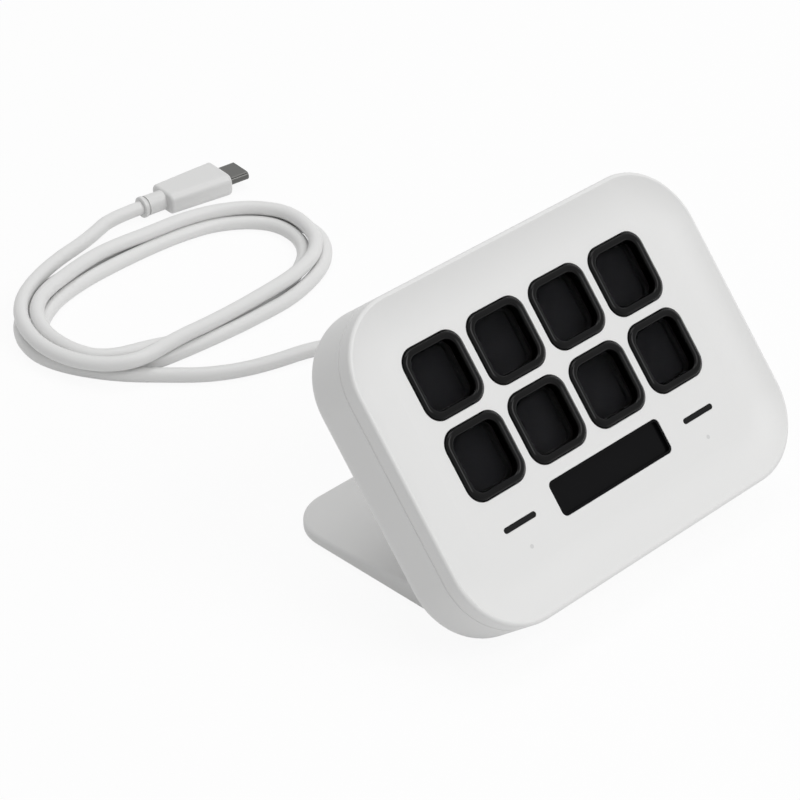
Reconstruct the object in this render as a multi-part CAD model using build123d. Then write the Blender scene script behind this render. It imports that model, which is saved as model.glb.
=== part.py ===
from build123d import *
import os
from math import sin, cos, tan, radians, degrees, sqrt, atan2

# Desktop keypad with eight display keys on a fixed stand. Millimetres, +Z up, the desk at Z = 0.
# The housing is drawn flat, in face coordinates: u to the right, v up the face, w out of the face,
# with w = 0 on the flat middle of the face. `seat` then leans it back onto its stand.

# ---- housing ----
width = 107.0               # across the face
height = 77.8               # up the face
corner = 17.5               # corner radius of the outline
rim = 2.6                   # how far the rim stands above the flat middle of the face
rim_edge = 0.8              # rounding of the rim's outer edge
rim_land = 0.9              # flat top of the rim, measured from the side wall
curl = 11.0                 # distance from the side wall to where the face becomes flat
face_wall = 2.0             # wall of the front cover
parting = 1.7               # depth of the parting line below the flat face
parting_groove = 0.25       # bevel on each cover that makes the line visible
lip_depth = 1.3             # how far the front cover's lip reaches into the rear cover
lip_wall = 0.95             # thickness of that lip
lip_gap = 0.08              # clearance of the lip in its rebate
rear_wall = 2.0             # wall of the rear cover
back = 16.5                 # depth of the rear face
back_edge = 5.0             # rounding of the rear edge
tilt = 50.0                 # angle of the face above the desk
lift = 0.6                  # height of the housing's lowest point above the desk

# ---- key field ----
key_columns = 4
key_rows = 2
key_pitch = 19.6
key_field_v = 7.7           # middle of the key field above the middle of the face
window_u = 17.7             # key window in the face
window_v = 17.5
window_corner = 4.2
key_gap = 0.3               # gap round each cap in its window
cap_proud = 0.55            # how far a cap stands above the flat face at rest
cap_rim = 1.85              # width of the cap's black rim
cap_round = 0.85            # rounding of the rim's outer edge
cap_inner_round = 0.7       # rounding of the rim's inner edge
flange = 0.6                # flange that keeps the cap behind the face
flange_thick = 0.7
flange_play = 0.05          # between the flange and the back of the face at rest
lens_step = 0.55            # rebate in the cap that the lens drops into
lens_sink = 0.8             # how far the lens lies below the cap's rim
lens_thick = 1.3
lens_corner = 2.6           # corner radius of the opening that shows the lens
lens_dish = 0.3             # hollow in the middle of the lens
key_travel = 1.0
dome_rest = 1.2             # height of a silicone dome with the key up
dome_wall = 1.2

# ---- information bar, light bars and touch pads ----
bar_u = 36.0
bar_v = 8.6
bar_corner = 1.4
bar_at_v = -18.35
bar_sink = 0.1              # the dark window's frame lies this far below the face
bar_frame = 0.6             # width of that frame
bar_hollow = 0.8            # depth of the window inside the frame
slit_u = 9.9
slit_v = 1.4
slit_at_u = 29.4
slit_at_v = -18.35
slit_stem = 6.0             # width of the light guide's stem
touch_u = 9.0
touch_v = 3.2
touch_at_u = 28.4
touch_at_v = -26.1
touch_thick = 0.15

# ---- inner stack, depths below the flat face ----
guide_gap = 0.25            # between a key's flange and the guide's cell
guide_u = 81.0
mat_thick = 0.8
panel_thick = 1.8
panel_u = 79.0
panel_v = 40.0
panel_at_v = 8.0
info_u = 42.0
info_v = 9.6
info_at_v = -18.4
tray_thick = 0.8
tray_wall = 0.6
tray_gap = 0.15             # between the panels and the tray's walls
standoff = 1.25             # from the tray to the board
board_thick = 1.2
board_u = 78.0
board_v = 49.0
board_at_v = -2.5
board_screw_u = 35.5
board_screw_v = 17.0        # from the board's middle
flex_u = 14.0
flex_thick = 0.25
flex_reach = 1.9            # how far the flex stands out beyond the display
socket_u, socket_v, socket_w = 10.0, 4.5, 2.6
socket_at_v = -4.25
wire_r = 0.5
wire_pitch = 1.6
tray_post_u = 20.0
tray_post_top_v = 32.2
tray_post_low_v = -29.4
tray_post_r = 2.0

# ---- screws ----
case_inset_u = 9.9          # from the side walls to the case screws
case_inset_v = 11.0
case_post_r = 2.8
case_tube_r = 3.4
case_joint = 8.0            # depth where the cover's post meets the rear cover's tube
screw_r = 1.0
screw_head_r = 1.9
screw_head = 1.4
cross_long, cross_wide, cross_deep = 2.2, 0.5, 0.7      # cross recess in each head
screw_hole_r = 1.2          # clearance hole
thread_gap = 0.03           # radial play of a screw in its post
head_well_r = 2.2           # well that hides a case screw's head
head_well = 4.5
stand_screw_u = (-34.0, -12.0, 12.0, 34.0)
stand_screw_v = -8.5
stand_boss_r = 2.4
stand_boss = 3.3

# ---- stand ----
stand_u = 87.0              # width of the stand
stand_plate = 2.4           # thickness of the part that is screwed to the housing
stand_top_v = -3.0          # upper end of that part
foot_reach = 49.7           # from the middle of the face back to the foot's rear edge
foot_thick = 2.6
foot_flat = 18.0            # stretch of even thickness at the foot's rear
foot_rise = 3.5             # how much thicker the foot is where it meets the upright part
foot_corner = 11.4
stand_throat = 5.0          # rounding inside the bend
foot_bend = 45.0            # easing where the foot starts to rise
stand_edge = 0.9            # rounding of the foot's upper edge
sole_edge = 0.5             # rounding of its lower edge
pad_thick = 1.2
pad_inset = 3.0             # from the foot's edges to its pads
pad_deep = 14.0             # each pad from front to back
pad_corner = 4.0

# ---- cord ----
cord_d = 3.85
gland_v = 8.0               # where the cord leaves the rear wall, up the face
gland_root_r = 4.2
gland_tip_r = 2.7
gland_long = 13.0
gland_flange = 10.0
gland_inside = 2.8          # block behind the wall that takes the pull
lead_straight = 9.0         # the cord runs on along the gland before it bends
coil_x, coil_y = 6.0, 133.3     # middle of the loose turns
coil_long, coil_wide = 93.0, 53.0   # outside of the turns
coil_band = 12.5            # width of the band of turns
coil_high = 7.6             # two cords lie on each other
coil_notch = 5.4            # width of the notches where the cord joins the turns
lead_route = [              # after the gland: over the foot, then round behind the housing to the turns
    (1.6, 31.0, 13.9), (5.5, 39.5, 9.0), (12.0, 48.5, 4.9), (19.0, 57.0, 2.5),
    (24.5, 66.0, 1.95), (25.5, 76.0, 1.95), (20.5, 84.6, 1.95), (11.5, 88.9, 1.95),
    (2.0, 90.2, 1.95), (-7.5, 92.4, 1.95), (-15.5, 97.6, 1.95), (-22.0, 105.0, 1.95),
    (-28.2, 112.6, 1.95), (-33.2, 120.8, 1.95)]
tail_route = [              # from the turns to the plug's collar, which it reaches along the plug's own line
    (-36.4, 143.2, 5.6), (-31.3, 151.0, 5.2), (-23.0, 158.8, 4.2), (-13.0, 165.2, 2.9),
    (-3.0, 169.6, 2.3), (6.5, 171.9, 2.7)]
tail_straight = 10.0        # last run before the collar
plug_at = (26.5, 171.5, 3.25)   # where the collar starts
plug_turn = -7.0            # heading of the plug, degrees from +X
collar_r = 2.8
collar_lip_r = 3.0          # lip where the cord goes in
collar_lip = 1.2
collar_groove = 0.5         # groove behind the lip
collar_long = 7.0
shell_long = 19.5
shell_rear_wide = 10.2
shell_wide = 12.35
shell_high = 6.5
shell_corner = 2.3          # corner radius of the grip's section
shell_edge = 0.9            # rounding of the grip's ends
tongue_wide = 8.3
tongue_high = 2.5
tongue_long = 6.6
tongue_wall = 0.3

lean_sin, lean_cos = sin(radians(tilt)), cos(radians(tilt))
case_screw_u, case_screw_v = width / 2 - case_inset_u, height / 2 - case_inset_v

# ---- levels that follow from the sizes above ----
guide_top = -face_wall
flange_top = guide_top - flange_play
cap_foot = flange_top - flange_thick
mat_top = cap_foot - dome_rest
panel_top = mat_top - mat_thick
tray_top = panel_top - panel_thick
tray_back = tray_top - tray_thick
board_top = tray_back - standoff
board_back = board_top - board_thick
floor_in = -(back - rear_wall)
cap_u, cap_v = window_u - 2 * key_gap, window_v - 2 * key_gap
cap_corner = window_corner - key_gap
key_places = [((column - (key_columns - 1) / 2) * key_pitch,
               key_field_v + ((key_rows - 1) / 2 - row) * key_pitch)
              for row in range(key_rows) for column in range(key_columns)]

# The housing's frame: its middle stands so that the object's footprint is centred on the origin.
face_z = lift + back_edge + (height / 2 - back_edge) * lean_sin + (back - back_edge) * lean_cos
front_reach = (height / 2 - rim_edge) * lean_cos + (rim - rim_edge) * lean_sin + rim_edge
face_y = (front_reach - foot_reach) / 2
seat = Plane(origin=(0, face_y, face_z), x_dir=(1, 0, 0), z_dir=(0, -lean_sin, lean_cos)).location


def slab(size_u, size_v, radius, low, high, at_u=0.0, at_v=0.0):
    """Upright plate with rounded corners between two levels."""
    outline = RectangleRounded(size_u, size_v, radius) if radius else Rectangle(size_u, size_v)
    return Pos(at_u, at_v, low) * extrude(outline, high - low)


def rod(radius, low, high, at_u=0.0, at_v=0.0):
    """Round bar along w between two levels."""
    return Pos(at_u, at_v, low) * extrude(Circle(radius), high - low)


def at_level(shape, level, tolerance=0.01):
    """Edges that lie wholly at one level of w."""
    return shape.edges().filter_by_position(Axis.Z, level - tolerance, level + tolerance)


def at_posts(maker, half_u, half_v):
    """One copy of a shape at each of four places, mirrored about the middle."""
    return [maker(side_u * half_u, side_v * half_v) for side_u in (-1, 1) for side_v in (-1, 1)]


def ring_round(section, size_u, size_v, radius):
    """A section, drawn in XZ with the outline at x = 0 and inwards at -x, led round a rounded rectangle."""
    half_u, half_v = size_u / 2, size_v / 2
    ring = None
    for turn, reach, run in ((0, half_u, half_v), (90, half_v, half_u), (180, half_u, half_v), (270, half_v, half_u)):
        side = extrude(Pos(reach, 0, 0) * section, run - radius, both=True)
        bend_at = Pos(reach - radius, run - radius, 0)
        bend = bend_at * revolve(Pos(radius, 0, 0) * section, Axis.Z, 90)
        for piece in (side, bend):
            placed = Rot(0, 0, turn) * piece
            ring = placed if ring is None else ring + placed
    return ring


def rim_section():
    """Section of the front cover from the side wall in to the flat middle, with the hollow of the face."""
    run = curl - rim_land
    sweep_r = (run**2 + rim**2) / (2 * rim)          # hollow that meets the flat face without a crease
    inner_r = sweep_r + face_wall

    def hollow(inwards, radius):
        return sweep_r - sqrt(radius**2 - (curl - inwards) ** 2)

    halfway = (curl + rim_land) / 2
    in_halfway = (curl + rear_wall) / 2
    foot = -parting
    corners = [(0, foot + parting_groove), (0, rim - rim_edge)]
    round_mid = rim_edge * (1 - cos(radians(45)))
    outer = [
        Line((-parting_groove, foot), (0, foot + parting_groove)),
        Line(*corners),
        ThreePointArc(corners[1], (-round_mid, rim - round_mid), (-rim_edge, rim)),
        Line((-rim_edge, rim), (-rim_land, rim)),
        ThreePointArc((-rim_land, rim), (-halfway, hollow(halfway, sweep_r)), (-curl, 0)),
        Line((-curl, 0), (-curl, -face_wall)),
        ThreePointArc((-curl, -face_wall), (-in_halfway, hollow(in_halfway, inner_r)),
                      (-rear_wall, hollow(rear_wall, inner_r))),
        Line((-rear_wall, hollow(rear_wall, inner_r)), (-rear_wall, foot)),
        Line((-rear_wall, foot), (-parting_groove, foot)),
    ]
    return Plane.XZ * make_face(outer)


def lip():
    """Ring on the front cover that reaches into the rear cover and keeps the two in line."""
    outside = rear_wall - lip_wall
    ring = slab(width - 2 * outside, height - 2 * outside, corner - outside, -parting - lip_depth, -parting)
    return ring - slab(width - 2 * rear_wall, height - 2 * rear_wall, corner - rear_wall,
                       -parting - lip_depth, -parting)


def face_openings():
    """Everything that is cut through the flat middle of the face."""
    low, high = -face_wall - 1, 1
    cuts = [slab(window_u, window_v, window_corner, low, high, u, v) for u, v in key_places]
    cuts.append(slab(bar_u, bar_v, bar_corner, low, high, 0, bar_at_v))
    cuts += [slab(slit_u, slit_v, slit_v / 2 - 0.01, low, high, side * slit_at_u, slit_at_v) for side in (-1, 1)]
    return cuts


def post_hole(radius, low, high):
    return lambda u, v: rod(radius, low, high, u, v)


def front_cover():
    """Moulded face: dished rim, thin webs between the key windows, lip, and screw posts behind."""
    middle = slab(width - 2 * curl, height - 2 * curl, corner - curl, -face_wall, 0)
    cover = ring_round(rim_section(), width, height, corner) + middle + lip()
    for u, v in [(side * case_screw_u, end * case_screw_v) for side in (-1, 1) for end in (-1, 1)]:
        cover += rod(case_post_r, -case_joint, -0.6, u, v)
    for u in (-tray_post_u, tray_post_u):
        for v in (tray_post_top_v, tray_post_low_v):
            cover += rod(tray_post_r, tray_top, -0.8, u, v)
    for cut in face_openings():
        cover -= cut
    for hole in at_posts(post_hole(screw_r + thread_gap, -case_joint, -3.4), case_screw_u, case_screw_v):
        cover -= hole
    for u in (-tray_post_u, tray_post_u):
        for v in (tray_post_top_v, tray_post_low_v):
            cover -= rod(screw_r + thread_gap, tray_top, -3.2, u, v)
    return cover


def rear_cover():
    """Moulded tub with rounded rear edge, screw tubes, stand bosses and stiffening ribs."""
    tub = slab(width, height, corner, -back, -parting)
    tub = fillet(at_level(tub, -back), back_edge)
    tub = chamfer(at_level(tub, -parting), parting_groove)
    hollow = slab(width - 2 * rear_wall, height - 2 * rear_wall, corner - rear_wall, floor_in, 0)
    tub -= fillet(at_level(hollow, floor_in), back_edge - rear_wall)
    rebate = rear_wall - lip_wall - lip_gap
    tub -= slab(width - 2 * rebate, height - 2 * rebate, corner - rebate, -parting - lip_depth - lip_gap, 0)
    for tube in at_posts(post_hole(case_tube_r, floor_in - 0.5, -case_joint), case_screw_u, case_screw_v):
        tub += tube
    for u in stand_screw_u:
        tub += rod(stand_boss_r, floor_in - 0.5, floor_in + stand_boss, u, stand_screw_v)
    for v in (-22.0, 22.0):
        tub += slab(70.0, 1.2, 0, floor_in - 0.5, floor_in + 1.6, 0, v)
    for well in at_posts(post_hole(head_well_r, -back, -back + head_well), case_screw_u, case_screw_v):
        tub -= well
    for hole in at_posts(post_hole(screw_hole_r, -back, -case_joint), case_screw_u, case_screw_v):
        tub -= hole
    for u in stand_screw_u:
        tub -= rod(screw_r + thread_gap, -back, floor_in + stand_boss - 0.8, u, stand_screw_v)
    tub -= rod(gland_root_r, -back, floor_in, 0, gland_v)
    return tub


def key_cap():
    """Black frame of one key: rounded rim over the lens, flange behind the face."""
    lens_top = cap_proud - lens_sink
    inner_u, inner_v = cap_u - 2 * cap_rim, cap_v - 2 * cap_rim
    cap = slab(cap_u, cap_v, cap_corner, cap_foot, cap_proud)
    cap = fillet(at_level(cap, cap_proud), cap_round)
    cap += slab(cap_u + 2 * flange, cap_v + 2 * flange, cap_corner + flange, cap_foot, flange_top)
    cap -= slab(inner_u + 2 * lens_step, inner_v + 2 * lens_step, lens_corner + lens_step, cap_foot, lens_top)
    cap -= slab(inner_u, inner_v, lens_corner, lens_top, cap_proud)
    reach = max(inner_u, inner_v) / 2 + 0.01
    inner_edges = [edge for edge in at_level(cap, cap_proud)
                   if max(abs(value) for corner_at in (edge.bounding_box().min, edge.bounding_box().max)
                          for value in (corner_at.X, corner_at.Y)) < reach]
    return fillet(inner_edges, cap_inner_round)


def key_lens():
    """Clear block under the rim of one cap, hollowed a little like a finger rest."""
    top = cap_proud - lens_sink
    inner_u, inner_v = cap_u - 2 * cap_rim, cap_v - 2 * cap_rim
    blank = slab(inner_u + 2 * lens_step - 0.02, inner_v + 2 * lens_step - 0.02, lens_corner + lens_step,
                 top - lens_thick, top)
    half = inner_v / 2 - 0.3
    ball_r = (half**2 + lens_dish**2) / (2 * lens_dish)
    return blank - Pos(0, 0, top - lens_dish + ball_r) * Sphere(ball_r)


def key_dome():
    """Soft silicone frame under one cap; its thin wall folds when the key goes down."""
    size_u, size_v = cap_u + 0.4, cap_v + 0.4
    low = slab(size_u, size_v, cap_corner, mat_top, mat_top + dome_rest * 0.4)
    inner = slab(size_u - 2 * dome_wall, size_v - 2 * dome_wall, cap_corner - dome_wall, mat_top, cap_foot)
    neck = slab(size_u - 1.0, size_v - 1.0, cap_corner - 0.5, mat_top, cap_foot)
    return low + neck - inner


def lower_cells(low, high, grow):
    """Openings of the information bar and the light bars, widened by `grow`."""
    cells = [slab(bar_u + 2 * grow, bar_v + 2 * grow, bar_corner, low, high, 0, bar_at_v)]
    cells += [slab(slit_u + 2 * grow, slit_v + 2 * grow, 0, low, high, side * slit_at_u, slit_at_v)
              for side in (-1, 1)]
    return cells


def key_guide():
    """Black lattice behind the face: one cell per key, so light and fingers' push stay in their own cell."""
    top_v = key_field_v + key_pitch + 1.0
    low_v = bar_at_v - bar_v / 2 - 1.6
    guide = slab(guide_u, top_v - low_v, 2.0, mat_top, guide_top, 0, (top_v + low_v) / 2)
    grow = flange + guide_gap
    for u, v in key_places:
        guide -= slab(cap_u + 2 * grow, cap_v + 2 * grow, cap_corner + grow, mat_top, guide_top, u, v)
    for cell in lower_cells(mat_top, guide_top, 0.9 + guide_gap):
        guide -= cell
    return guide


def key_mat():
    """Silicone sheet between the guide and the displays, open where the displays show."""
    top_v = key_field_v + key_pitch + 1.0
    low_v = bar_at_v - bar_v / 2 - 1.6
    mat = slab(guide_u, top_v - low_v, 2.0, panel_top, mat_top, 0, (top_v + low_v) / 2)
    for u, v in key_places:
        mat -= slab(cap_u - 2 * cap_rim, cap_v - 2 * cap_rim, cap_corner - cap_rim, panel_top, mat_top, u, v)
    for cell in lower_cells(panel_top, mat_top, 0.3):
        mat -= cell
    return mat


def info_window():
    """Smoked window of the information bar, let in within its own frame and held behind the face."""
    clear = 0.1
    pane = slab(bar_u - 2 * clear, bar_v - 2 * clear, bar_corner - clear, -face_wall, -bar_sink)
    pane -= slab(bar_u - 2 * bar_frame, bar_v - 2 * bar_frame, bar_corner - bar_frame, -bar_sink - bar_hollow,
                 -bar_sink)
    return pane + slab(bar_u + 1.6, bar_v + 1.6, bar_corner, -face_wall - 0.7, -face_wall, 0, 0)


def light_bar():
    """Light guide of one slit: face strip, flange and a stem that reaches the light on the board."""
    strip = slab(slit_u - 0.1, slit_v - 0.1, slit_v / 2 - 0.06, -face_wall, -0.05)
    grip = slab(slit_u + 1.6, slit_v + 1.6, 0, -face_wall - 0.8, -face_wall)
    return strip + grip + slab(slit_stem, slit_v - 0.1, 0, board_top + 0.5, -face_wall)


def lcd_tray():
    """Folded steel tray that carries both displays, with four ears on the front cover's posts."""
    top_v = panel_at_v + panel_v / 2 + tray_gap + tray_wall
    low_v = info_at_v - info_v / 2 - tray_gap - tray_wall
    tray_u = panel_u + 2 * (tray_gap + tray_wall)
    tray = slab(tray_u, top_v - low_v, 0.8, tray_back, panel_top - 0.4, 0, (top_v + low_v) / 2)
    tray -= slab(panel_u + 2 * tray_gap, top_v - low_v - 2 * tray_wall, 0.3, tray_top, panel_top, 0,
                 (top_v + low_v) / 2)
    ear_high = tray_post_top_v + tray_post_r - top_v
    ear_low = low_v - (tray_post_low_v - tray_post_r)
    for u in (-tray_post_u, tray_post_u):
        tray += slab(6.0, ear_high + 0.5, 0, tray_back, tray_top, u, top_v + ear_high / 2 - 0.25)
        tray += slab(6.0, ear_low + 0.5, 0, tray_back, tray_top, u, low_v - ear_low / 2 + 0.25)
        for v in (tray_post_top_v, tray_post_low_v):
            tray -= rod(screw_hole_r, tray_back, tray_top, u, v)
    tray -= slab(flex_u + 1.5, 2.0, 0, tray_top, panel_top, 0, top_v - tray_wall / 2)
    for side in (-1, 1):
        tray -= slab(slit_stem + 1.2, slit_v + 1.2, 0, tray_back, panel_top, side * slit_at_u, slit_at_v)
        for end in (-1, 1):
            u, v = side * board_screw_u, board_at_v + end * board_screw_v
            tray += rod(2.2, board_top, tray_back, u, v)
            tray -= rod(screw_r + thread_gap, board_top, tray_top, u, v)
    return tray


def main_board():
    """Circuit board behind the tray."""
    board = slab(board_u, board_v, 1.5, board_back, board_top, 0, board_at_v)
    for side in (-1, 1):
        for end in (-1, 1):
            board -= rod(screw_hole_r, board_back, board_top, side * board_screw_u,
                         board_at_v + end * board_screw_v)
    return board


def board_chips():
    """Packages soldered to the rear of the board and the two lights under the light bars."""
    rear = [(7.0, 7.0, 0.9, -14.0, 2.0), (5.0, 4.0, 0.8, -3.5, 9.0), (4.0, 4.0, 0.8, 14.0, 4.0),
            (9.0, 6.0, 1.0, 26.0, 8.0), (5.0, 3.0, 0.7, -25.0, 10.0), (3.2, 2.5, 0.7, -22.0, -1.5),
            (6.0, 5.0, 0.9, 22.0, -16.0), (4.0, 3.0, 0.7, -24.0, -17.0)]
    chips = [slab(size_u, size_v, 0, board_back - high, board_back, u, v) for size_u, size_v, high, u, v in rear]
    chips += [slab(3.0, 1.2, 0, board_top, board_top + 0.5, side * slit_at_u, slit_at_v) for side in (-1, 1)]
    return chips


def screw(head_low, tip):
    """Pan-head screw along w: the head with its cross recess, then the shank up to its tip."""
    head = rod(screw_head_r, head_low, head_low + screw_head)
    for size_u, size_v in ((cross_long, cross_wide), (cross_wide, cross_long)):
        head -= slab(size_u, size_v, 0, head_low, head_low + cross_deep)
    return head + rod(screw_r, head_low + screw_head, tip)


def stand():
    """One moulded plate: upright part on the rear cover, wide bend, foot that thins towards the rear."""
    outside = -back - stand_plate

    def on_housing(v, w):
        return (face_y + v * lean_cos - w * lean_sin, face_z + v * lean_sin + w * lean_cos)

    def down_to(level, w):
        v = (level - face_z - w * lean_cos) / lean_sin
        return on_housing(v, w)

    sole = lift
    top = sole + foot_thick
    rear = face_y + foot_reach
    points = [on_housing(stand_top_v, -back), down_to(sole, -back), (rear, sole), (rear, top),
              (rear - foot_flat, top), down_to(top + foot_rise, outside), on_housing(stand_top_v, outside)]
    profile = make_face(Polyline(*points, close=True).edges())

    def corner_at(point):
        return profile.vertices().sort_by_distance(Vector(*point, 0))[0]

    profile = fillet(corner_at(points[5]), stand_throat)
    profile = fillet(corner_at(points[4]), foot_bend)
    body = extrude(Plane.YZ * profile, stand_u / 2, both=True)
    uprights = body.edges().filter_by(Axis.Z).filter_by_position(Axis.Y, rear - 0.01, rear + 0.01)
    body = fillet(uprights, foot_corner)
    through = body.edges().filter_by(Axis((0, 0, 0), (0, -lean_sin, lean_cos)))
    body = fillet(through.sort_by(Axis.Z)[-2:], foot_corner)
    for level, radius in ((top, stand_edge), (sole, sole_edge)):
        brim = body.edges().filter_by_position(Axis.Z, level - 0.01, level + 0.01)
        body = fillet(brim.filter_by_position(Axis.Y, rear - 1, rear + 1), radius)
    for u in stand_screw_u:
        body -= seat * rod(screw_hole_r, outside - 1, -back, u, stand_screw_v)
    for low, high in pad_spans():
        body -= foot_pad(low, high, 0.0)
    return body


def pad_spans():
    """Front and rear limits of the two foot pads, along Y."""
    rear = face_y + foot_reach - pad_inset
    front = face_y + back * lean_sin - (height / 2 - back_edge) * lean_cos + pad_inset + 2.0
    return [(front, front + pad_deep), (rear - pad_deep, rear)]


def foot_pad(low, high, inset=0.05):
    """Rubber pad let into the underside of the foot; it carries the object on the desk."""
    size_u = stand_u - 2 * pad_inset
    radius = pad_corner - inset if inset else pad_corner
    pad = extrude(RectangleRounded(size_u - 2 * inset, high - low - 2 * inset, radius), pad_thick)
    return Pos(0, (low + high) / 2, 0) * pad


def gland():
    """Strain relief in the rear wall: flange and stop inside, ribbed taper outside."""
    cone = Pos(0, gland_v, -back) * Rot(180, 0, 0) * loft(
        [Circle(gland_root_r - 0.6), Pos(0, 0, gland_long) * Circle(gland_tip_r)])
    body = cone + rod(gland_root_r - 0.02, -back - 1.2, floor_in, 0, gland_v)
    body += slab(gland_flange, gland_flange, 1.5, floor_in, floor_in + gland_inside, 0, gland_v)
    for step in range(3):
        depth = -back - 3.4 - 2.8 * step
        body -= rod(gland_root_r, depth - 1.2, depth, 0, gland_v) - rod(gland_tip_r - 0.25, depth - 1.3, depth + 0.1,
                                                                     0, gland_v)
    return body


def bend_radii(points):
    """Radius for each inner point: 0.45 of the shorter run over the tangent of half the turn."""
    vectors = [Vector(*point) for point in points]
    radii = []
    for before, here, after in zip(vectors, vectors[1:], vectors[2:]):
        shorter = min((here - before).length, (after - here).length)
        turn = (here - before).get_angle(after - here)
        radii.append(0.45 * shorter / tan(radians(turn / 2)))
    return radii


def tube(points, diameter):
    """Round tube of straight runs joined by tangent arcs."""
    path = FilletPolyline(*points, radius=bend_radii(points))
    start = Plane(origin=path @ 0, z_dir=path % 0)
    return sweep(start * Circle(diameter / 2), path=path), path


def report_cord(name, points, solid, path):
    radii = bend_radii(points)
    share = solid.volume / (3.14159265 * (cord_d / 2) ** 2 * path.length)
    print(name, "length", round(path.length, 1), "volume over section x length", round(share, 4))
    print("  radii", [round(radius, 1) for radius in radii], "least in diameters", round(min(radii) / cord_d, 2))


def lying(size_wide, size_high, radius, long, at_x):
    """Bar with a rounded section that lies along X."""
    return Pos(at_x, 0, 0) * Rot(0, 90, 0) * extrude(RectangleRounded(size_high, size_wide, radius), long)


def plug_pieces():
    """Collar, moulded grip and metal shell of the plug, lying flat on the desk."""
    place = Pos(*plug_at) * Rot(0, 0, plug_turn)
    along = Rot(0, 90, 0)
    lip_ring = along * extrude(Circle(collar_lip_r), collar_lip)
    lip_ring = fillet(lip_ring.edges(), 0.35)
    core = Pos(collar_lip / 2, 0, 0) * along * extrude(Circle(collar_r - 0.4), collar_long - collar_lip / 2)
    sleeve_at = collar_lip + collar_groove
    collar = lip_ring + core + Pos(sleeve_at, 0, 0) * along * extrude(Circle(collar_r), collar_long - sleeve_at)
    rear_face = RectangleRounded(shell_high - 0.4, shell_rear_wide, shell_corner - 0.2)
    front_face = RectangleRounded(shell_high, shell_wide, shell_corner)
    grip = Pos(collar_long, 0, 0) * along * loft([rear_face, Pos(0, 0, shell_long) * front_face])
    face_at = collar_long + shell_long
    for at_x, radius in ((collar_long, shell_edge), (face_at, shell_edge)):
        grip = fillet(grip.edges().filter_by_position(Axis.X, at_x - 0.01, at_x + 0.01), radius)
    metal = lying(tongue_wide, tongue_high, tongue_high / 2 - 0.05, tongue_long, face_at)
    metal -= lying(tongue_wide - 2 * tongue_wall, tongue_high - 2 * tongue_wall,
                   tongue_high / 2 - tongue_wall - 0.05, tongue_long, face_at + 0.6)
    blade = Pos(face_at + 0.6, 0, 0) * along * extrude(Rectangle(0.7, 6.6), tongue_long - 1.6)
    return {"plug_collar": place * collar, "plug_grip": place * grip, "plug_metal": place * (metal + blade)}


def display_flex():
    """Ribbon from the main display round the tray's edge to the connector on the rear of the board."""
    edge_v = panel_at_v + panel_v / 2
    out_v = edge_v + flex_reach
    end_v = board_at_v + board_v / 2 - 1.0
    upper, lower = panel_top - panel_thick / 2, board_back - 0.6
    top = slab(flex_u, out_v - edge_v, 0, upper - flex_thick, upper, 0, (out_v + edge_v) / 2)
    side = slab(flex_u, flex_thick, 0, lower - flex_thick, upper, 0, out_v - flex_thick / 2)
    low = slab(flex_u, out_v - end_v, 0, lower - flex_thick, lower, 0, (out_v + end_v) / 2)
    return top + side + low


def flex_connector():
    """Connector that takes the flex."""
    end_v = board_at_v + board_v / 2 - 1.0
    return slab(flex_u + 1.5, 3.2, 0, board_back - 1.4, board_back, 0, end_v - 1.6)


def inner_wires():
    """Four wires from the block of the strain relief to the socket on the board."""
    start_v, end_v = gland_v - gland_flange / 2, socket_at_v + socket_v / 2
    start_w, end_w = floor_in + gland_inside / 2, board_back - socket_w / 2
    run = Vector(0, end_v - start_v, end_w - start_w)
    wires = []
    for count in range(4):
        start = Plane(origin=((count - 1.5) * wire_pitch, start_v, start_w), z_dir=(0, -1, 0))
        wires.append(extrude(start * Circle(wire_r), run.length, dir=run.normalized()))
    return wires


def coil(lead_end, tail_start):
    """Outer shape of the loose turns: a flat oval band, notched where the cord runs in and out."""
    outer = Ellipse(coil_long / 2, coil_wide / 2)
    inner = Ellipse(coil_long / 2 - coil_band, coil_wide / 2 - coil_band)
    band = Pos(coil_x, coil_y, 0) * extrude(outer - inner, coil_high)
    for end, before in (lead_end, tail_start):
        heading = degrees(atan2(before[1] - end[1], before[0] - end[0]))
        notch = Box(18, coil_notch, 3 * coil_high, align=(Align.MIN, Align.CENTER, Align.CENTER))
        band -= Pos(end[0], end[1], 0) * Rot(0, 0, heading) * notch
    return band


def group(shapes):
    """Several separate solids of one node."""
    return Compound(children=[shape.solid() for shape in shapes])


def inside_pieces():
    """Everything between the two covers, in face coordinates."""
    pieces = {
        "key_guide": key_guide(),
        "key_mat": key_mat(),
        "lcd_panel": slab(panel_u, panel_v, 0, tray_top, panel_top, 0, panel_at_v),
        "info_panel": slab(info_u, info_v, 0, tray_top, panel_top, 0, info_at_v),
        "info_window": Pos(0, bar_at_v, 0) * info_window(),
        "lcd_tray": lcd_tray(),
        "main_board": main_board(),
        "board_chips": group(board_chips()),
        "display_flex": display_flex(),
        "flex_connector": flex_connector(),
        "cable_socket": slab(socket_u, socket_v, 0, board_back - socket_w, board_back, 0, socket_at_v),
        "inner_wires": group(inner_wires()),
    }
    for side, name in ((-1, "left"), (1, "right")):
        pieces["light_bar_" + name] = Pos(side * slit_at_u, slit_at_v, 0) * light_bar()
        pieces["touch_pad_" + name] = slab(touch_u, touch_v, 1.0, -face_wall - touch_thick, -face_wall,
                                           side * touch_at_u, touch_at_v)
    pieces["touch_contacts"] = group(
        [rod(1.0, board_top, -face_wall - touch_thick, side * touch_at_u, touch_at_v) for side in (-1, 1)])
    return pieces


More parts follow.
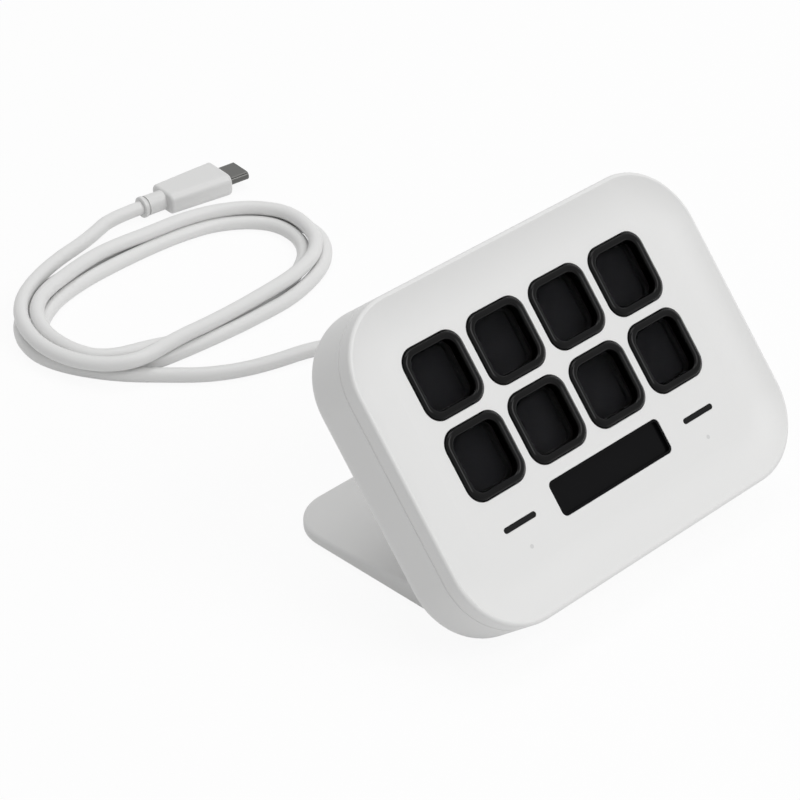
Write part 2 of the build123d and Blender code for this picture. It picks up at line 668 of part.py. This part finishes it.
def screw_groups():
    """The four sets of screws, in face coordinates."""
    def driven(head_low, tip):
        return lambda u, v: Pos(u, v, 0) * screw(head_low, tip)

    tray_screw = driven(tray_back - screw_head, -3.3)
    stand_screw = driven(-back - stand_plate - screw_head, floor_in + stand_boss - 0.9)
    board_screw = driven(board_back - screw_head, tray_top)
    return {
        "case_screws": group(at_posts(driven(-back + head_well - screw_head, -3.5), case_screw_u, case_screw_v)),
        "tray_screws": group([tray_screw(u, v) for u in (-tray_post_u, tray_post_u)
                              for v in (tray_post_top_v, tray_post_low_v)]),
        "board_screws": group([board_screw(side * board_screw_u, board_at_v + end * board_screw_v)
                               for side in (-1, 1) for end in (-1, 1)]),
        "stand_screws": group([stand_screw(u, stand_screw_v) for u in stand_screw_u]),
    }


def keys():
    """The eight keys: cap, lens and the dome under them."""
    makers = {"key_cap_": key_cap(), "key_lens_": key_lens(), "key_dome_": key_dome()}
    return {name + str(count): Pos(u, v, 0) * shape
            for count, (u, v) in enumerate(key_places, 1) for name, shape in makers.items()}


def cord_pieces():
    """The cord's two free stretches and its loose turns, on the desk behind the housing."""
    tip = seat * Pos(0, gland_v, -back - gland_long)
    out = Vector(0, lean_sin, -lean_cos)
    start = tip.position
    lead = [tuple(start), tuple(start + out * lead_straight)] + lead_route
    heading = Vector(cos(radians(plug_turn)), sin(radians(plug_turn)), 0)
    before_plug = Vector(*plug_at) - heading * tail_straight
    tail = tail_route + [tuple(before_plug), plug_at]
    pieces = {}
    for name, points in (("cord_lead", lead), ("cord_end", tail)):
        pieces[name], path = tube(points, cord_d)
        report_cord(name, points, pieces[name], path)
    pieces["cord_coil"] = coil((lead[-1], lead[-2]), (tail[0], tail[1]))
    return pieces


flat_pieces = {"front_cover": front_cover(), "rear_cover": rear_cover(), "cord_gland": gland()}
flat_pieces.update(inside_pieces())
flat_pieces.update(screw_groups())
flat_pieces.update(keys())
nodes = {name: seat * shape for name, shape in flat_pieces.items()}
nodes["stand"] = stand()
for pad_name, (pad_low, pad_high) in zip(("foot_pad_front", "foot_pad_rear"), pad_spans()):
    nodes[pad_name] = foot_pad(pad_low, pad_high)
nodes.update(cord_pieces())
nodes.update(plug_pieces())

os.makedirs("parts", exist_ok=True)
for name, shape in nodes.items():
    export_step(shape, "parts/" + name + ".step")
print(len(nodes), "pieces; face middle at y", round(face_y, 3), "z", round(face_z, 3))
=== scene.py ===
import bpy
from math import cos, radians, sin
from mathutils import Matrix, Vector


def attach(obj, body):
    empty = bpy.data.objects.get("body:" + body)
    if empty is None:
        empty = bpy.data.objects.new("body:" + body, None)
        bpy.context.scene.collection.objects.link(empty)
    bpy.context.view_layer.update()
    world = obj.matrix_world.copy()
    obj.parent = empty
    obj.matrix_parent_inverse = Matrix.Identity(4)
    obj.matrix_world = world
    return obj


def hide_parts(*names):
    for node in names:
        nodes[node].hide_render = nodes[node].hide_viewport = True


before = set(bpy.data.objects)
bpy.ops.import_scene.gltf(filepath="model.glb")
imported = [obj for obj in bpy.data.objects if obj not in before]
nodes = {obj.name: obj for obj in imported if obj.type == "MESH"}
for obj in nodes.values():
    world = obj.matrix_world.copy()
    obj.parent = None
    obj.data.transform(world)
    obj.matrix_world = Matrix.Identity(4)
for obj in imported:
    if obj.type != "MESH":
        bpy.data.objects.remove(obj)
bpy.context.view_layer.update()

# ---------------------------------------------------------------------------------------------
# The place: a pale table top that keeps the object's shadow, a white room and two soft lights.
# The camera stands in front and to the left, above the keypad, and looks down at it.
# ---------------------------------------------------------------------------------------------

scene = bpy.context.scene
scene.view_settings.view_transform = "Standard"

camera_data = bpy.data.cameras.new("camera")
camera_data.lens = 126.79
camera_data.sensor_width = 36.0
camera_data.clip_start = 0.01
camera = bpy.data.objects.new("camera", camera_data)
camera.location = (-0.389214, -0.359327, 0.381834)
camera.rotation_euler = [radians(angle) for angle in (56.5515, 0.8622, -44.5724)]
scene.collection.objects.link(camera)
scene.camera = camera

white_in_view = 1.0
room_light = 0.485
table_size = 6.0
table_tone = 0.86
table_lift = 0.92


def maths(tree, operation, *values):
    """One sum on sockets or plain numbers; gives its result socket."""
    node = tree.nodes.new("ShaderNodeMath")
    node.operation = operation
    for socket, value in zip(node.inputs, values):
        if isinstance(value, (int, float)):
            socket.default_value = value
        else:
            tree.links.new(value, socket)
    return node.outputs["Value"]


def new_material(name):
    """An empty node material, with its node tree and its output node."""
    material = bpy.data.materials.new(name)
    material.use_nodes = True
    tree = material.node_tree
    tree.nodes.clear()
    out = tree.nodes.new("ShaderNodeOutputMaterial")
    return material, tree, out


def seen_directly(tree):
    """1 for what the camera sees, straight or by way of a mirror or glass; 0 for light on the object."""
    path = tree.nodes.new("ShaderNodeLightPath")
    seen = path.outputs["Is Camera Ray"]
    for kind in ("Is Glossy Ray", "Is Transmission Ray"):
        seen = maths(tree, "MAXIMUM", seen, path.outputs[kind])
    return seen


def blend(tree, share, under, over, out):
    """Puts out one shader with a share of another laid over it."""
    mix = tree.nodes.new("ShaderNodeMixShader")
    for source, socket in zip((share, under, over), mix.inputs):
        tree.links.new(source, socket)
    tree.links.new(mix.outputs["Shader"], out.inputs["Surface"])


def white_background(tree, strength):
    """Plain white world light of one strength."""
    node = tree.nodes.new("ShaderNodeBackground")
    node.inputs["Color"].default_value = (1.0, 1.0, 1.0, 1.0)
    node.inputs["Strength"].default_value = strength
    return node.outputs["Background"]


def softly_lit_room():
    """White where the camera sees it, softer where it lights the object."""
    world = bpy.data.worlds.new("room")
    scene.world = world
    world.use_nodes = True
    tree = world.node_tree
    tree.nodes.clear()
    out = tree.nodes.new("ShaderNodeOutputWorld")
    on_object = white_background(tree, room_light)
    in_view = white_background(tree, white_in_view)
    blend(tree, seen_directly(tree), on_object, in_view, out)


def table_top():
    """Large pale sheet under the object, lifted to white for the camera, with a soft shadow left in it."""
    bpy.ops.mesh.primitive_plane_add(size=table_size, location=(0, 0, 0))
    floor = bpy.context.object
    floor.name = "table_top"
    material, tree, out = new_material("table white")
    paint = tree.nodes.new("ShaderNodeBsdfDiffuse")
    paint.inputs["Color"].default_value = (table_tone, table_tone, table_tone, 1.0)
    glow = tree.nodes.new("ShaderNodeEmission")
    glow.inputs["Strength"].default_value = white_in_view
    share = maths(tree, "MULTIPLY", seen_directly(tree), table_lift)
    blend(tree, share, paint.outputs["BSDF"], glow.outputs["Emission"], out)
    floor.data.materials.append(material)


def soft_light(name, place, aim, size, watts):
    """Large square lamp that points at a place on the object."""
    data = bpy.data.lights.new(name, "AREA")
    data.size = size
    data.energy = watts
    lamp = bpy.data.objects.new(name, data)
    lamp.location = place
    lamp.rotation_euler = (Vector(aim) - Vector(place)).to_track_quat("-Z", "Y").to_euler()
    scene.collection.objects.link(lamp)


softly_lit_room()
table_top()
soft_light("front light", place=(0.35, -1.1, 1.2), aim=(0, 0, 0.03), size=0.9, watts=10.2)
soft_light("top light", place=(0.3, 0.3, 1.6), aim=(0, 0.05, 0), size=1.0, watts=6.8)

# ---------------------------------------------------------------------------------------------
# The cord: a limp round lead of 3.85 mm with a satin vinyl jacket, about 0.9 m from the strain
# relief to the plug. It runs behind the housing on to the table, makes three loose turns that lie
# on each other, and ends in its plug. Places are in millimetres, on the cord's centre line.
# ---------------------------------------------------------------------------------------------

MM = 0.001
cord_diameter = 3.85
gland_tip = (0.0, 16.22, 26.13)
on_table = 1.95
plug_height = 3.25


def lying(*places):
    """Places on the table, at the height of a cord that lies on it."""
    return [(x, y, on_table) for x, y in places]


down_to_table = [
    gland_tip, (0.0, 23.12, 20.34), (1.6, 31.0, 13.9), (5.5, 39.5, 9.0), (12.0, 48.5, 4.9),
    (19.0, 57.0, 2.5)]
along_table = lying(
    (24.5, 66.0), (24.0, 74.7), (18.9, 82.9), (10.3, 87.2), (1.1, 89.2), (-7.7, 92.3), (-15.8, 97.4),
    (-22.6, 104.5), (-29.4, 111.8), (-34.6, 120.0))
first_turn = lying(
    (-38.0, 128.0), (-38.9, 135.8), (-36.6, 143.6), (-31.9, 150.3), (-25.0, 155.3), (-17.0, 158.6),
    (-6.9, 160.0), (4.6, 160.3), (15.5, 159.4), (28.0, 158.2), (38.6, 155.2), (46.5, 150.2),
    (50.8, 142.9), (52.5, 134.8), (51.7, 126.9), (47.5, 120.1), (41.4, 114.8), (33.5, 111.2),
    (23.9, 108.7), (15.8, 108.3), (6.1, 108.3), (-3.7, 108.8), (-12.5, 109.6), (-20.5, 110.6),
    (-26.4, 114.6))
second_turn = lying(
    (-29.8, 121.6), (-30.9, 129.8), (-32.0, 137.0), (-29.9, 144.9), (-23.4, 149.3), (-17.1, 152.2),
    (-7.6, 154.2), (2.4, 154.9), (14.3, 155.0), (25.7, 154.2), (35.4, 151.9), (43.2, 146.5),
    (47.5, 139.8), (47.2, 131.4), (43.6, 124.1), (37.3, 118.7), (29.5, 115.0), (20.0, 113.0),
    (10.0, 112.4), (1.0, 112.6))
up_on_the_turns = [(-8.0, 113.0, 2.0), (-13.6, 113.4, 3.2), (-18.9, 113.0, 4.9), (-24.0, 113.4, 5.8)]
third_turn = [
    (-28.4, 115.3, 5.6), (-32.1, 118.8, 5.4), (-34.2, 123.4, 5.7), (-35.0, 128.9, 5.8),
    (-34.5, 135.5, 5.8), (-32.1, 142.2, 5.8), (-28.0, 148.1, 5.8), (-22.0, 152.2, 5.8),
    (-15.3, 154.2, 5.7), (-6.6, 156.7, 5.4), (1.2, 158.0, 5.2), (7.9, 157.8, 5.2),
    (15.4, 156.8, 5.2), (27.9, 155.8, 5.2), (37.0, 153.1, 5.2), (45.1, 147.9, 5.2),
    (49.6, 140.8, 5.2), (50.2, 135.0, 5.2), (49.1, 128.8, 5.1), (46.3, 122.5, 4.9),
    (40.8, 117.3, 4.9), (34.4, 114.4, 5.1), (27.3, 112.3, 5.3), (19.6, 111.5, 5.3),
    (8.4, 110.7, 5.3), (-1.9, 110.5, 5.3), (-11.5, 110.2, 5.9), (-18.0, 109.1, 6.5)]
run_to_plug = [
    (-23.6, 108.3, 6.8), (-27.5, 109.0, 6.6), (-30.9, 111.2, 6.2), (-34.3, 114.9, 5.9),
    (-37.0, 119.9, 5.8), (-38.7, 126.1, 5.8), (-38.8, 133.9, 5.8), (-36.2, 142.8, 5.8),
    (-31.5, 150.5, 5.8), (-24.5, 156.5, 5.6), (-15.3, 161.4, 5.0), (-5.8, 165.4, 4.0),
    (2.3, 168.1, 3.0), (9.6, 170.6, 2.7), (16.57, 172.72, plug_height), (26.5, 171.5, plug_height)]


def moulded_surface():
    """Node group for moulded and extruded plastics and rubber: a faint mottling and a fine grain."""
    group = bpy.data.node_groups.new("moulded surface", "ShaderNodeTree")
    face = group.interface
    for label, value in (("Mottling", 0.02), ("Mottling Size", 60.0), ("Grain Size", 2500.0),
                         ("Roughness", 0.4)):
        socket = face.new_socket(label, in_out="INPUT", socket_type="NodeSocketFloat")
        socket.default_value = value
    colour = face.new_socket("Colour", in_out="INPUT", socket_type="NodeSocketColor")
    colour.default_value = (0.8, 0.8, 0.8, 1.0)
    face.new_socket("Colour", in_out="OUTPUT", socket_type="NodeSocketColor")
    face.new_socket("Roughness", in_out="OUTPUT", socket_type="NodeSocketFloat")
    face.new_socket("Height", in_out="OUTPUT", socket_type="NodeSocketFloat")
    start = group.nodes.new("NodeGroupInput")
    end = group.nodes.new("NodeGroupOutput")
    place = group.nodes.new("ShaderNodeTexCoord")
    clouds = group.nodes.new("ShaderNodeTexNoise")
    clouds.inputs["Detail"].default_value = 2.0
    grain = group.nodes.new("ShaderNodeTexNoise")
    grain.inputs["Detail"].default_value = 1.0
    link = group.links.new
    link(place.outputs["Object"], clouds.inputs["Vector"])
    link(place.outputs["Object"], grain.inputs["Vector"])
    link(start.outputs["Mottling Size"], clouds.inputs["Scale"])
    link(start.outputs["Grain Size"], grain.inputs["Scale"])
    centred = maths(group, "SUBTRACT", clouds.outputs["Fac"], 0.5)
    swing = maths(group, "MULTIPLY", centred, start.outputs["Mottling"])
    tint = group.nodes.new("ShaderNodeVectorMath")
    tint.operation = "SCALE"
    link(start.outputs["Colour"], tint.inputs["Vector"])
    link(maths(group, "ADD", swing, 1.0), tint.inputs["Scale"])
    link(tint.outputs["Vector"], end.inputs["Colour"])
    roughness_swing = 1.5
    rough = maths(group, "MULTIPLY_ADD", swing, roughness_swing, start.outputs["Roughness"])
    link(rough, end.inputs["Roughness"])
    link(grain.outputs["Fac"], end.inputs["Height"])
    return group


moulded = moulded_surface()


def plastic(name, colour, roughness=0.4, mottling=0.02, grain_mm=0.35, depth_mm=0.004, **sockets):
    """Principled material over the moulded surface; extra sockets are set on the shader itself."""
    material, tree, out = new_material(name)
    shader = tree.nodes.new("ShaderNodeBsdfPrincipled")
    surface = tree.nodes.new("ShaderNodeGroup")
    surface.node_tree = moulded
    surface.inputs["Colour"].default_value = (*colour, 1.0)
    surface.inputs["Roughness"].default_value = roughness
    surface.inputs["Mottling"].default_value = mottling
    surface.inputs["Grain Size"].default_value = 1.0 / (grain_mm * MM)
    bump = tree.nodes.new("ShaderNodeBump")
    bump.inputs["Distance"].default_value = depth_mm * MM
    bump.inputs["Strength"].default_value = 1.0
    link = tree.links.new
    link(surface.outputs["Colour"], shader.inputs["Base Color"])
    link(surface.outputs["Roughness"], shader.inputs["Roughness"])
    link(surface.outputs["Height"], bump.inputs["Height"])
    link(bump.outputs["Normal"], shader.inputs["Normal"])
    link(shader.outputs["BSDF"], out.inputs["Surface"])
    for label, value in sockets.items():
        shader.inputs[label.replace("_", " ")].default_value = value
    return material


cord_points = (down_to_table + along_table + first_turn + second_turn + up_on_the_turns
               + third_turn + run_to_plug)
cord_curve = bpy.data.curves.new("cord", "CURVE")
cord_curve.dimensions = "3D"
cord_curve.resolution_u = 10
cord_curve.bevel_depth = cord_diameter / 2 * MM
cord_curve.bevel_resolution = 6
cord_line = cord_curve.splines.new("NURBS")
cord_line.points.add(len(cord_points) - 1)
for spot, place in zip(cord_line.points, cord_points):
    spot.co = (*[value * MM for value in place], 1.0)
cord_line.order_u = 3
cord_line.use_endpoint_u = True
cord = bpy.data.objects.new("cord", cord_curve)
scene.collection.objects.link(cord)
cord_jacket = plastic("cord jacket", (0.74, 0.74, 0.735), roughness=0.42, mottling=0.02, grain_mm=0.6,
                      depth_mm=0.006)
cord_curve.materials.append(cord_jacket)
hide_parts("cord_lead", "cord_coil", "cord_end")
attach(cord, "housing")

# ---------------------------------------------------------------------------------------------
# The plug and the strain relief: white vinyl moulded on to the cord; the plug's tongue is a drawn
# steel shell with a black insulator inside. Everything inside the shell's opening is coloured black:
# the insulator's own colour, and painted shade on the inner walls of the bore.
# ---------------------------------------------------------------------------------------------

plug_heading = radians(-7.0)
shell_middle = (52.3, 168.3, plug_height)
opening_half_width = 3.9
opening_half_height = 0.98


def finish_nodes(material, *names):
    """Gives CAD nodes their finish."""
    for name in names:
        data = nodes[name].data
        data.materials.clear()
        data.materials.append(material)


def distance_from_line(tree, centre, along):
    """How far a point of the surface lies from the line through a centre along a direction."""
    place = tree.nodes.new("ShaderNodeTexCoord")
    away = tree.nodes.new("ShaderNodeVectorMath")
    away.operation = "SUBTRACT"
    away.inputs[1].default_value = [value * MM for value in centre]
    tree.links.new(place.outputs["Object"], away.inputs[0])
    across = tree.nodes.new("ShaderNodeVectorMath")
    across.operation = "CROSS_PRODUCT"
    across.inputs[1].default_value = along
    tree.links.new(away.outputs["Vector"], across.inputs[0])
    length = tree.nodes.new("ShaderNodeVectorMath")
    length.operation = "LENGTH"
    tree.links.new(across.outputs["Vector"], length.inputs[0])
    return length.outputs["Value"]


def mask_group(name):
    """Empty node group with one output, a mask."""
    group = bpy.data.node_groups.new(name, "ShaderNodeTree")
    group.interface.new_socket("Mask", in_out="OUTPUT", socket_type="NodeSocketFloat")
    return group, group.nodes.new("NodeGroupOutput").inputs["Mask"]


def insulator_and_bore_shade():
    """1 inside the opening of the plug's steel shell, on the insulator and, as painted shade, on the inner
    walls of the bore; 0 on the outside of the shell.
    """
    group, result = mask_group("insulator and painted bore shade")
    along = (cos(plug_heading), sin(plug_heading), 0.0)
    from_axis = distance_from_line(group, shell_middle, along)
    narrow = maths(group, "LESS_THAN", from_axis, opening_half_width * MM)
    place = group.nodes.new("ShaderNodeTexCoord")
    parts = group.nodes.new("ShaderNodeSeparateXYZ")
    group.links.new(place.outputs["Object"], parts.inputs["Vector"])
    height = maths(group, "ABSOLUTE", maths(group, "SUBTRACT", parts.outputs["Z"], plug_height * MM))
    thin = maths(group, "LESS_THAN", height, opening_half_height * MM)
    group.links.new(maths(group, "MULTIPLY", narrow, thin), result)
    return group


def recolour(material, mask, colour):
    """Lays a second colour over a plastic where the mask group gives 1."""
    tree = material.node_tree
    base = tree.nodes["Principled BSDF"].inputs["Base Color"]
    first_colour = base.links[0].from_socket
    where = tree.nodes.new("ShaderNodeGroup")
    where.node_tree = mask
    mix = tree.nodes.new("ShaderNodeMix")
    mix.data_type = "RGBA"
    under, over = [socket for socket in mix.inputs if socket.type == "RGBA"]
    mixed = next(socket for socket in mix.outputs if socket.type == "RGBA")
    tree.links.new(where.outputs["Mask"], mix.inputs["Factor"])
    tree.links.new(first_colour, under)
    over.default_value = (*colour, 1.0)
    tree.links.new(mixed, base)


plug_vinyl = plastic("plug vinyl", (0.7, 0.7, 0.695), roughness=0.38, mottling=0.015, grain_mm=0.5,
                     depth_mm=0.004)
finish_nodes(plug_vinyl, "plug_collar", "plug_grip")
finish_nodes(cord_jacket, "cord_gland")
plug_steel = plastic("plug steel", (0.13, 0.13, 0.125), roughness=0.34, mottling=0.1, grain_mm=0.2,
                     depth_mm=0.001, Metallic=1.0)
# Black inside the shell's opening: the insulator's own colour, and painted shade on the inner walls of the
# bore.
recolour(plug_steel, insulator_and_bore_shade(), (0.01, 0.01, 0.01))
finish_nodes(plug_steel, "plug_metal")

# ---------------------------------------------------------------------------------------------
# The covers and the stand: injection moulded in white plastic with a fine eroded matte surface.
# Two small grey dots printed on the face show where the touch points lie. The stand rests on two
# strips of soft black rubber.
# ---------------------------------------------------------------------------------------------

slope = radians(50.0)
face_middle = (0.0, -11.515, 38.961)
face_normal = (0.0, -sin(slope), cos(slope))
touch_marks = ((-29.5, -24.1), (29.0, -24.1))
mark_radius = 0.5


def printed_dots():
    """1 on the two touch marks, whose places are given across and up the face from its middle."""
    group, result = mask_group("printed dots")
    marks = []
    for across, up in touch_marks:
        centre = (across, face_middle[1] + up * cos(slope), face_middle[2] + up * sin(slope))
        from_centre = distance_from_line(group, centre, face_normal)
        marks.append(maths(group, "LESS_THAN", from_centre, mark_radius * MM))
    group.links.new(maths(group, "ADD", *marks), result)
    return group


cover_white = plastic("cover white", (0.74, 0.74, 0.735), roughness=0.46, mottling=0.012, grain_mm=0.3,
                      depth_mm=0.003)
finish_nodes(cover_white, "stand")
face_white = plastic("face white", (0.735, 0.735, 0.73), roughness=0.46, mottling=0.012, grain_mm=0.3,
                     depth_mm=0.003)
recolour(face_white, printed_dots(), (0.6, 0.6, 0.6))
finish_nodes(face_white, "front_cover")
rear_white = plastic("rear cover white", (0.74, 0.74, 0.735), roughness=0.5, mottling=0.012,
                     grain_mm=0.3, depth_mm=0.004)
finish_nodes(rear_white, "rear_cover")
pad_rubber = plastic("pad rubber", (0.045, 0.045, 0.047), roughness=0.8, mottling=0.2, grain_mm=0.25,
                     depth_mm=0.01)
finish_nodes(pad_rubber, "foot_pad_front", "foot_pad_rear")

# ---------------------------------------------------------------------------------------------
# The keys: black polished caps, each with a clear polished lens that is hollowed for the finger.
# Below them lie the key guide, the soft mat and domes, and the display. The information bar has
# its own smoked window, between two slim smoked light guides.
# ---------------------------------------------------------------------------------------------

key_numbers = range(1, 9)
cap_black = plastic("cap black", (0.002, 0.002, 0.0022), roughness=0.09, mottling=0.05, grain_mm=0.8,
                    depth_mm=0.0008, Specular_IOR_Level=0.14)
finish_nodes(cap_black, *["key_cap_%d" % key for key in key_numbers])
lens_clear = plastic("lens clear", (0.42, 0.42, 0.43), roughness=0.03, mottling=0.004, grain_mm=6.0,
                     depth_mm=0.0001, Transmission_Weight=1.0, IOR=1.02)
finish_nodes(lens_clear, *["key_lens_%d" % key for key in key_numbers])
silicone = plastic("silicone", (0.06, 0.06, 0.062), roughness=0.55, mottling=0.05)
finish_nodes(silicone, "key_mat", *["key_dome_%d" % key for key in key_numbers])
guide_black = plastic("guide black", (0.012, 0.012, 0.013), roughness=0.6, mottling=0.1)
finish_nodes(guide_black, "key_guide")
display_glass = plastic("display glass", (0.062, 0.062, 0.065), roughness=0.5, mottling=0.08,
                        grain_mm=1.5, depth_mm=0.0005, Specular_IOR_Level=0.04)
finish_nodes(display_glass, "lcd_panel", "info_panel")
window_smoke = plastic("window smoke", (0.003, 0.003, 0.0035), roughness=0.22, mottling=0.05,
                       grain_mm=1.5, depth_mm=0.0004, Specular_IOR_Level=0.06)
finish_nodes(window_smoke, "info_window")
light_smoke = plastic("light guide", (0.006, 0.006, 0.0065), roughness=0.35, mottling=0.05,
                      Specular_IOR_Level=0.1)
finish_nodes(light_smoke, "light_bar_left", "light_bar_right")

# ---------------------------------------------------------------------------------------------
# Inside the housing: the folded steel tray that carries the displays, the main board with its
# chips, socket, flex and wires, the copper touch pads with their contacts, and the plated screws
# that hold everything together.
# ---------------------------------------------------------------------------------------------

tray_steel = plastic("tray steel", (0.55, 0.55, 0.54), roughness=0.38, mottling=0.12, Metallic=1.0)
finish_nodes(tray_steel, "lcd_tray")
screw_steel = plastic("screw steel", (0.38, 0.38, 0.39), roughness=0.3, mottling=0.1, Metallic=1.0)
finish_nodes(screw_steel, "case_screws", "tray_screws", "board_screws", "stand_screws")
touch_copper = plastic("touch copper", (0.72, 0.4, 0.22), roughness=0.35, mottling=0.15, Metallic=1.0)
finish_nodes(touch_copper, "touch_pad_left", "touch_pad_right", "touch_contacts")
board_mask = plastic("board mask", (0.015, 0.12, 0.05), roughness=0.35, mottling=0.15)
finish_nodes(board_mask, "main_board")
chip_black = plastic("chip black", (0.02, 0.02, 0.021), roughness=0.55, mottling=0.1)
finish_nodes(chip_black, "board_chips")
flex_amber = plastic("flex amber", (0.45, 0.19, 0.03), roughness=0.3, mottling=0.1)
finish_nodes(flex_amber, "display_flex")
connector_cream = plastic("connector cream", (0.6, 0.56, 0.45), roughness=0.5)
finish_nodes(connector_cream, "flex_connector", "cable_socket")
wire_red = plastic("wire red", (0.5, 0.03, 0.03), roughness=0.4)
finish_nodes(wire_red, "inner_wires")
